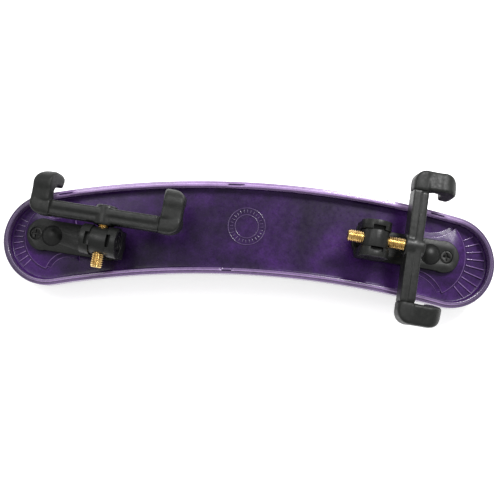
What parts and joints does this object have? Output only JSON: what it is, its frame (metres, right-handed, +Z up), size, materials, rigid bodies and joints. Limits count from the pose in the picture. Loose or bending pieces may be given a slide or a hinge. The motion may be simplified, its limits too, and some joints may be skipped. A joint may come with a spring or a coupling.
{
  "type": "violin shoulder rest",
  "caption": "Arched translucent tray on a foam pad, with folding, height-adjustable feet whose forked ends hook under a violin's edge.",
  "frame": {"origin": "on the table, under the middle of the rest's box", "axes": "+X along the rest towards the end with the crosswise fork, +Y towards the convex edge, +Z up from the pad to the feet"},
  "size_m": [0.246, 0.0748, 0.0445],
  "materials": {
    "tray_plastic": "glossy, tinted and see-through",
    "adhesive": "clear tape",
    "foam": "fine open-cell foam",
    "black_plastic": "satin",
    "claw_rubber": "matt, fine grain",
    "dark_fastener": "blackened",
    "steel": "plated",
    "brass": "bright, machined thread"
  },
  "bodies": {
    "base": {"tray": "tray_plastic", "adhesive_film": "adhesive", "foam_pad": "foam", "right_pivot_stud": "dark_fastener", "right_stud_washer": "steel", "left_pivot_stud": "dark_fastener", "left_stud_washer": "steel"},
    "right_arm_body": {"right_arm": "black_plastic", "right_lock_screw": "dark_fastener"},
    "right_clevis_body": {"right_clevis": "black_plastic", "right_swivel_clip": "steel"},
    "right_barrel_body": {"right_barrel": "black_plastic", "right_hinge_screws": "dark_fastener"},
    "right_fork_body": {"right_stem": "brass", "right_fork_bar": "black_plastic", "right_claw_upper": "claw_rubber", "right_claw_lower": "claw_rubber"},
    "left_arm_body": {"left_arm": "black_plastic", "left_lock_screw": "dark_fastener"},
    "left_clevis_body": {"left_clevis": "black_plastic", "left_swivel_clip": "steel"},
    "left_barrel_body": {"left_barrel": "black_plastic", "left_hinge_screws": "dark_fastener"},
    "left_fork_body": {"left_stem": "brass", "left_fork_bar": "black_plastic", "left_claw_inner": "claw_rubber", "left_claw_outer": "claw_rubber"}
  },
  "joints": [
    {"name": "right_arm_swivel", "type": "hinge", "parent": "base", "child": "right_arm_body", "pos_m": [0.0898, -0.00073, 0.01593], "axis": [0.0994, 0, 0.995], "range_deg": [-18, 15]},
    {"name": "right_clevis_turn", "type": "hinge", "parent": "right_arm_body", "child": "right_clevis_body", "pos_m": [0.05783, 0.00264, 0.01912], "axis": [0.0994, 0, 0.995], "range_deg": [0, 180]},
    {"name": "right_fold", "type": "hinge", "parent": "right_clevis_body", "child": "right_barrel_body", "pos_m": [0.05955, 0.00264, 0.03623], "axis": [-0.104, -0.9945, 0.0104], "range_deg": [0, 90]},
    {"name": "right_height", "type": "slide", "parent": "right_barrel_body", "child": "right_fork_body", "axis": [0.9896, -0.1045, -0.0989], "range_m": [0, 0.01]},
    {"name": "left_arm_swivel", "type": "hinge", "parent": "base", "child": "left_arm_body", "pos_m": [-0.09811, -0.00216, 0.01506], "axis": [-0.1086, 0, 0.9941], "range_deg": [-6, 31]},
    {"name": "left_clevis_turn", "type": "hinge", "parent": "left_arm_body", "child": "left_clevis_body", "pos_m": [-0.06907, -0.00544, 0.01823], "axis": [-0.1086, 0, 0.9941], "range_deg": [-90, 90]},
    {"name": "left_fold", "type": "hinge", "parent": "left_clevis_body", "child": "left_barrel_body", "pos_m": [-0.07093, -0.00544, 0.03533], "axis": [0.9879, -0.1115, 0.1079], "range_deg": [0, 90]},
    {"name": "left_height", "type": "slide", "parent": "left_barrel_body", "child": "left_fork_body", "axis": [0.1108, 0.9938, 0.0121], "range_m": [0, 0.01]}
  ]
}
